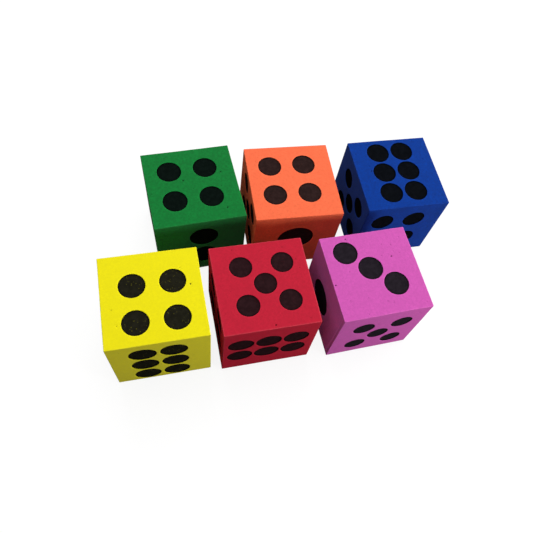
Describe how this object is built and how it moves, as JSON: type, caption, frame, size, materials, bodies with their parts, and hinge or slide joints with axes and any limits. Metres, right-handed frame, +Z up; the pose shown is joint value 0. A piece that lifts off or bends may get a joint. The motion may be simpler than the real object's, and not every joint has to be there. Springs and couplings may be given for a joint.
{
  "type": "giant yard dice",
  "caption": "Giant solid-foam cube dice in bright colours with round black pips, set out in rows; each loose die rolls over a bottom edge onto its next face.",
  "frame": {"origin": "on the ground under the middle of the set's bounding box", "axes": "+X along the rows from the green and yellow end to the blue and pink end, +Y from the front row to the back row, +Z up"},
  "size_m": [0.304, 0.1824, 0.0762],
  "materials": {
    "green_foam": "matt sawn closed-cell foam with black printed pips",
    "orange_foam": "matt sawn closed-cell foam with black printed pips",
    "blue_foam": "matt sawn closed-cell foam with black printed pips",
    "yellow_foam": "matt sawn closed-cell foam with black printed pips",
    "red_foam": "matt sawn closed-cell foam with black printed pips",
    "pink_foam": "matt sawn closed-cell foam with black printed pips"
  },
  "bodies": {
    "red_die": {"red_die": "red_foam"},
    "green_die": {"green_die": "green_foam"},
    "orange_die": {"orange_die": "orange_foam"},
    "blue_die": {"blue_die": "blue_foam"},
    "yellow_die": {"yellow_die": "yellow_foam"},
    "pink_die": {"pink_die": "pink_foam"}
  },
  "joints": [
    {"name": "green_roll", "type": "hinge", "parent": "red_die", "child": "green_die", "pos_m": [-0.07224, 0.08942, 0], "axis": [-0.9988, -0.048, 0], "range_deg": [0, 90]},
    {"name": "orange_roll", "type": "hinge", "parent": "red_die", "child": "orange_die", "pos_m": [0.01708, 0.08393, 0], "axis": [-0.9992, 0.0393, 0], "range_deg": [0, 90]},
    {"name": "blue_roll", "type": "hinge", "parent": "red_die", "child": "blue_die", "pos_m": [0.11392, 0.08196, 0], "axis": [-1, 0.0087, 0], "range_deg": [0, 90]},
    {"name": "yellow_roll", "type": "hinge", "parent": "red_die", "child": "yellow_die", "pos_m": [-0.11391, -0.08474, 0], "axis": [1, 0, 0], "range_deg": [0, 90]},
    {"name": "pink_roll", "type": "hinge", "parent": "red_die", "child": "pink_die", "pos_m": [0.06409, -0.09022, 0], "axis": [0.9997, 0.0262, 0], "range_deg": [0, 90]}
  ]
}
